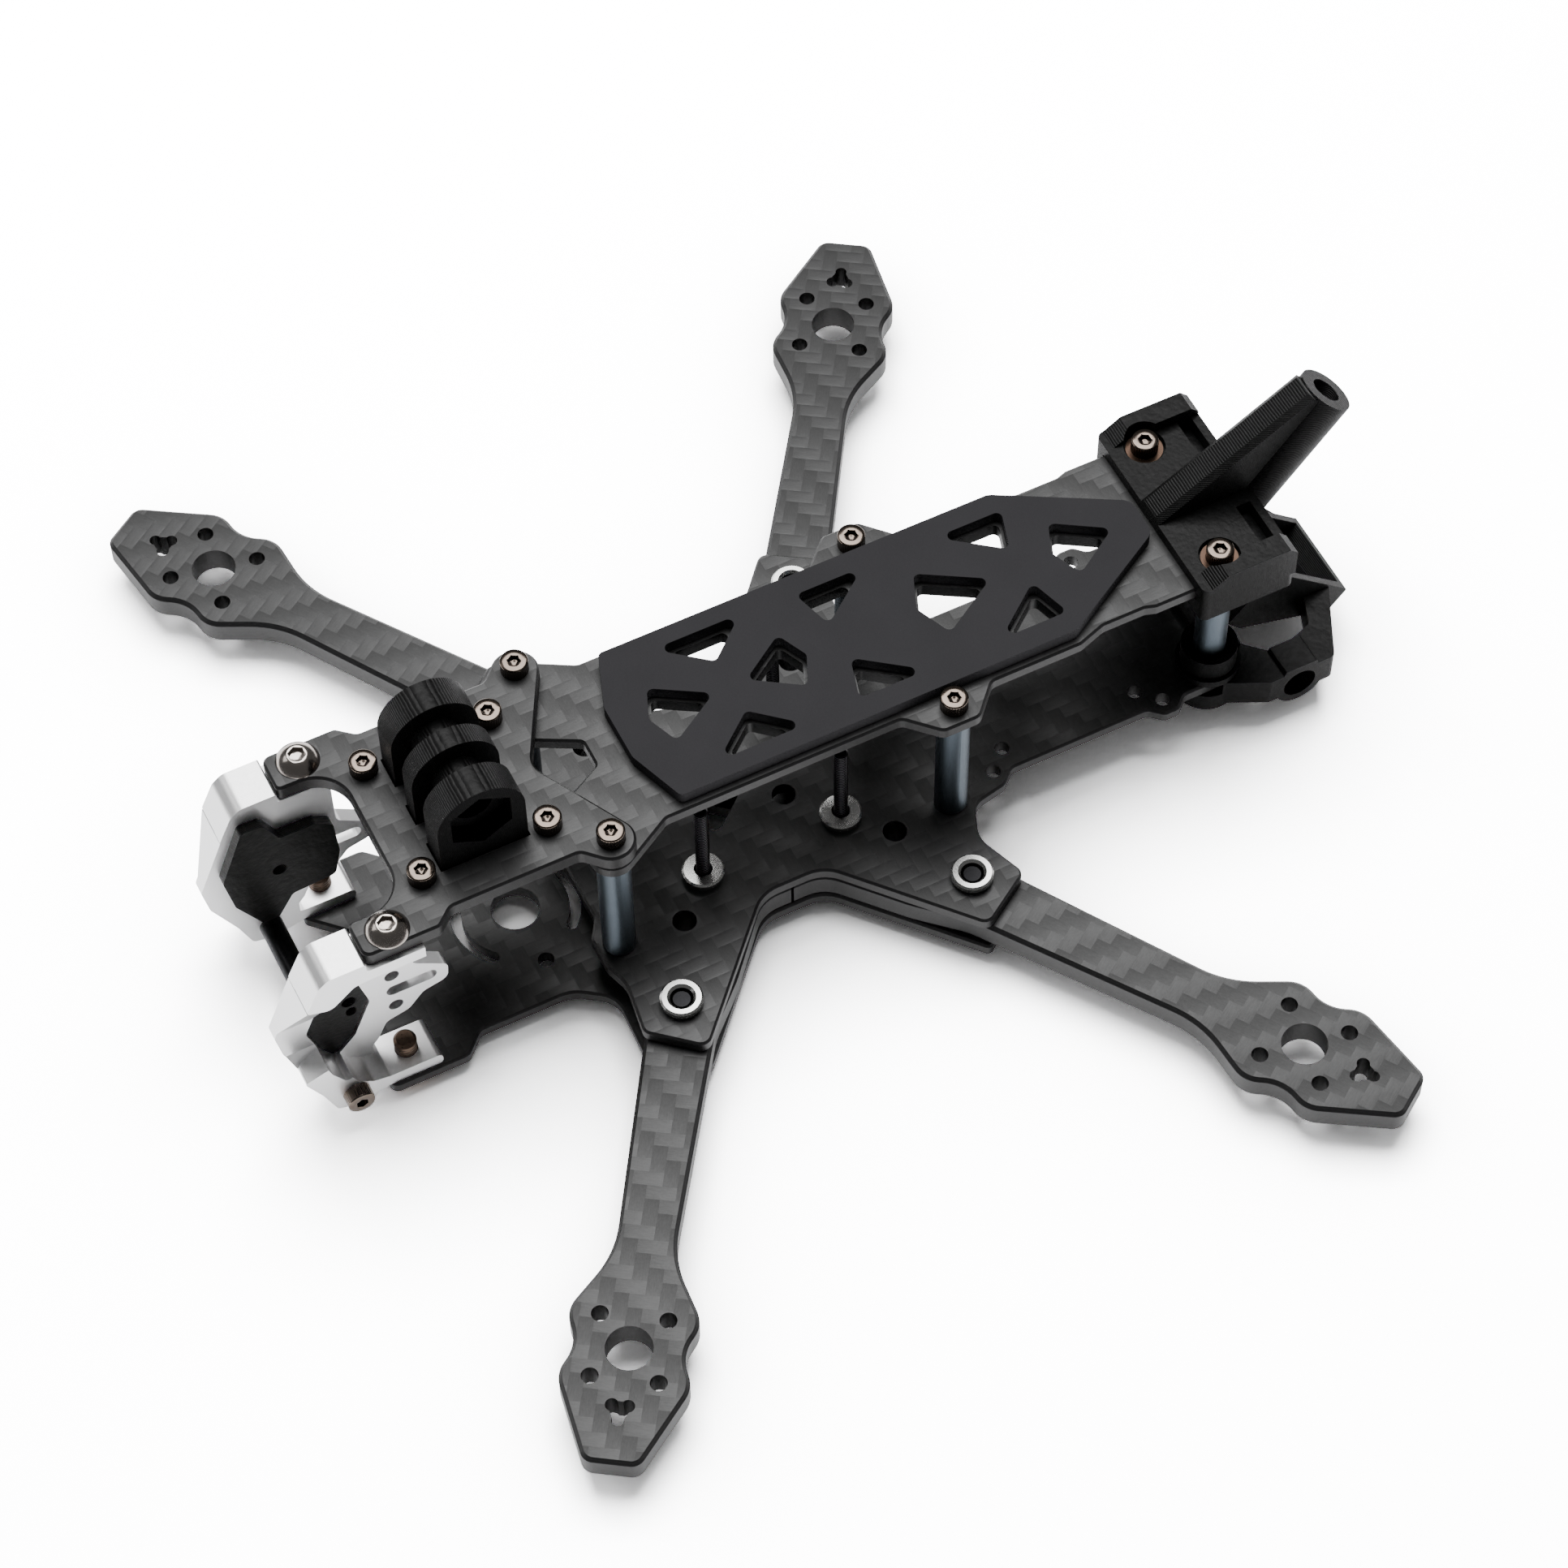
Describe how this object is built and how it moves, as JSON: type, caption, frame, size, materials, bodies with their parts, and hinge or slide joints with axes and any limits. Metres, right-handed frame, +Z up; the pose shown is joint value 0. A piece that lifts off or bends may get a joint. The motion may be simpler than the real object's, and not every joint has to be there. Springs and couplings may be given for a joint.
{
  "type": "quadcopter frame",
  "caption": "Carbon-fibre freestyle quadcopter frame with stacked plates, four arms, camera cage, action-camera mount and antenna mounts.",
  "frame": {"origin": "centre of the square of flight-controller holes, on the upper face of the mid plate; it is also midway between the four motors", "axes": "+Z up, the nose points to -Y, +X is the left-hand side as flown"},
  "size_m": [0.1612, 0.1593, 0.0481],
  "materials": {
    "carbon": "matte twill-weave carbon-fibre laminate",
    "cage_aluminium": "machined and tumbled, bright silver",
    "standoff_aluminium": "satin grey-blue anodised",
    "black_print": "printed flexible plastic with fine layer lines",
    "pad_rubber": "fine-grained matt",
    "dark_steel": "dark nickel plated",
    "bright_steel": "turned and polished",
    "black_steel": "black oxide"
  },
  "bodies": {
    "root": {"action_camera_mount": "black_print", "action_camera_mount_nuts": "bright_steel", "action_camera_mount_screws": "dark_steel", "arm_bolts": "black_steel", "arm_front_left": "carbon", "arm_front_right": "carbon", "arm_nuts": "bright_steel", "arm_rear_left": "carbon", "arm_rear_right": "carbon", "battery_pad": "pad_rubber", "bottom_plate": "carbon", "cage_cross_bar": "black_steel", "cage_foot_screws": "dark_steel", "cage_plate_left": "cage_aluminium", "cage_plate_right": "cage_aluminium", "cage_top_screws": "bright_steel", "camera_insert_left": "black_print", "camera_insert_right": "black_print", "cross_bar_screws": "dark_steel", "front_standoff_screws": "dark_steel", "front_top_plate": "carbon", "mid_plate": "carbon", "mid_standoff_screws": "dark_steel", "rear_antenna_mount": "black_print", "rear_lower_mount": "black_print", "rear_standoff_screws": "dark_steel", "rear_washers": "dark_steel", "stack_nuts": "bright_steel", "stack_screws": "black_steel", "standoff_bottom_screws": "dark_steel", "standoff_front_left": "standoff_aluminium", "standoff_front_right": "standoff_aluminium", "standoff_mid_left": "standoff_aluminium", "standoff_mid_right": "standoff_aluminium", "standoff_rear_left": "standoff_aluminium", "standoff_rear_right": "standoff_aluminium", "top_plate": "carbon"}
  },
  "joints": []
}
